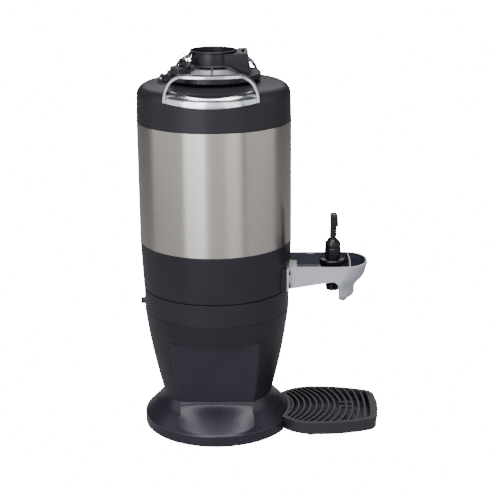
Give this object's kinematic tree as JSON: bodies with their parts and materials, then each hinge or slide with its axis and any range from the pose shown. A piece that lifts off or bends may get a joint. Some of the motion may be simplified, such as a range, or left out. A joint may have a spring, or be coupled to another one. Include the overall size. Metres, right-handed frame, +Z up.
{
  "type": "gravity thermal coffee server on stand",
  "caption": "Insulated steel coffee server on a black pedestal stand, with funnel lid, polished handles, guarded faucet and drip tray.",
  "frame": {"origin": "on the upright axis of the vessel and foot, at the plane the foot's rubber pads rest on", "axes": "+Z up along the vessel's axis, -Y forward towards the faucet and drip tray, +X to the right-hand handle of someone facing along +Y"},
  "size_m": [0.2326, 0.3726, 0.5901],
  "materials": {
    "black_plastic": "satin moulded black plastic with a very fine grain",
    "dark_plastic": "moulded black plastic, a little glossier",
    "panel_plastic": "flat satin black plastic",
    "gloss_black": "smooth black plastic",
    "grey_plastic": "grey plastic",
    "brushed_steel": "stainless steel brushed round the body",
    "vessel_steel": "plain stainless sheet",
    "satin_metal": "bead-blasted silver metal",
    "polished_metal": "polished chrome plate",
    "fastener_steel": "turned stainless steel",
    "black_screws": "blackened screws",
    "rubber": "black rubber",
    "silicone": "pale food-grade silicone",
    "circuit": "coated circuit board",
    "smoked_window": "smoked clear plastic"
  },
  "bodies": {
    "stand": {"foot": "black_plastic", "base_plate": "dark_plastic", "foot_pads": "rubber", "base_screws": "black_screws", "pedestal": "black_plastic", "side_panel_left": "panel_plastic", "side_panel_right": "panel_plastic", "pedestal_bolts": "black_screws", "pedestal_band": "black_plastic"},
    "lock": {"lock_knob": "dark_plastic", "lock_shaft": "fastener_steel"},
    "tray": {"drip_tray": "dark_plastic", "tray_pads": "rubber"},
    "grille": {"drip_grille": "dark_plastic"},
    "server": {"server_bottom": "dark_plastic", "server_feet": "rubber", "skirt": "black_plastic", "steel_shell": "brushed_steel", "vessel_jacket": "vessel_steel", "liner_base": "vessel_steel", "vessel_liner": "vessel_steel", "liner_neck": "vessel_steel", "neck_ring": "vessel_steel", "outlet_pipe": "vessel_steel", "collar": "black_plastic", "handle_plate_left": "polished_metal", "handle_plate_right": "polished_metal", "handle_left": "polished_metal", "handle_right": "polished_metal", "hinge_bracket": "dark_plastic", "hinge_pin": "fastener_steel", "faucet_shank": "dark_plastic", "shank_washer": "silicone", "shank_nut": "fastener_steel", "faucet_body": "gloss_black", "faucet_outlet": "gloss_black", "faucet_bonnet": "gloss_black", "lever_pin": "black_screws", "faucet_guard": "satin_metal", "guard_screws": "black_screws"},
    "lever": {"faucet_lever": "dark_plastic"},
    "valve": {"faucet_stem": "fastener_steel", "seat_cup": "silicone", "stem_spring": "fastener_steel"},
    "lid": {"lid": "dark_plastic", "lid_grips": "dark_plastic", "lid_gasket": "silicone", "lid_plate": "vessel_steel", "lid_crown": "dark_plastic", "funnel": "dark_plastic", "gauge_housing": "dark_plastic", "gauge_cover": "grey_plastic", "gauge_board": "circuit", "gauge_window": "smoked_window", "tether_eyelet": "dark_plastic"},
    "stopper": {"upper_ring": "polished_metal", "lower_ring": "polished_metal", "stopper_knob": "dark_plastic", "stopper_seal": "rubber"}
  },
  "joints": [
    {"name": "server_lift", "type": "slide", "parent": "stand", "child": "server", "axis": [0, 0, 1], "range_m": [0, 0.12]},
    {"name": "lock_turn", "type": "hinge", "parent": "stand", "child": "lock", "pos_m": [0, 0.112, 0.199], "axis": [0, 1, 0], "range_deg": [0, 90]},
    {"name": "tray_slide", "type": "slide", "parent": "stand", "child": "tray", "axis": [0, -1, 0], "range_m": [0, 0.12]},
    {"name": "grille_lift", "type": "slide", "parent": "tray", "child": "grille", "axis": [0, 0, 1], "range_m": [0, 0.03]},
    {"name": "lid_hinge", "type": "hinge", "parent": "server", "child": "lid", "pos_m": [0, 0.0775, 0.5495], "axis": [-1, 0, 0], "range_deg": [0, 100]},
    {"name": "stopper_swing", "type": "hinge", "parent": "lid", "child": "stopper", "pos_m": [-0.01954, 0.03201, 0.5866], "axis": [0.8535, 0.5211, 0], "range_deg": [0, 60]},
    {"name": "lever_pull", "type": "hinge", "parent": "server", "child": "lever", "pos_m": [0, -0.18, 0.293], "axis": [1, 0, 0], "range_deg": [0, 22], "stiffness_Nm_per_rad": 0.3, "springref_deg": -11.46},
    {"name": "stem_lift", "type": "slide", "parent": "server", "child": "valve", "axis": [0, 0, 1], "range_m": [0, 0.0018], "deforming": ["stem_spring"]}
  ],
  "couplings": [
    {"joint": "lever_pull", "follows": "stem_lift", "rad_per_m": 213.3}
  ]
}
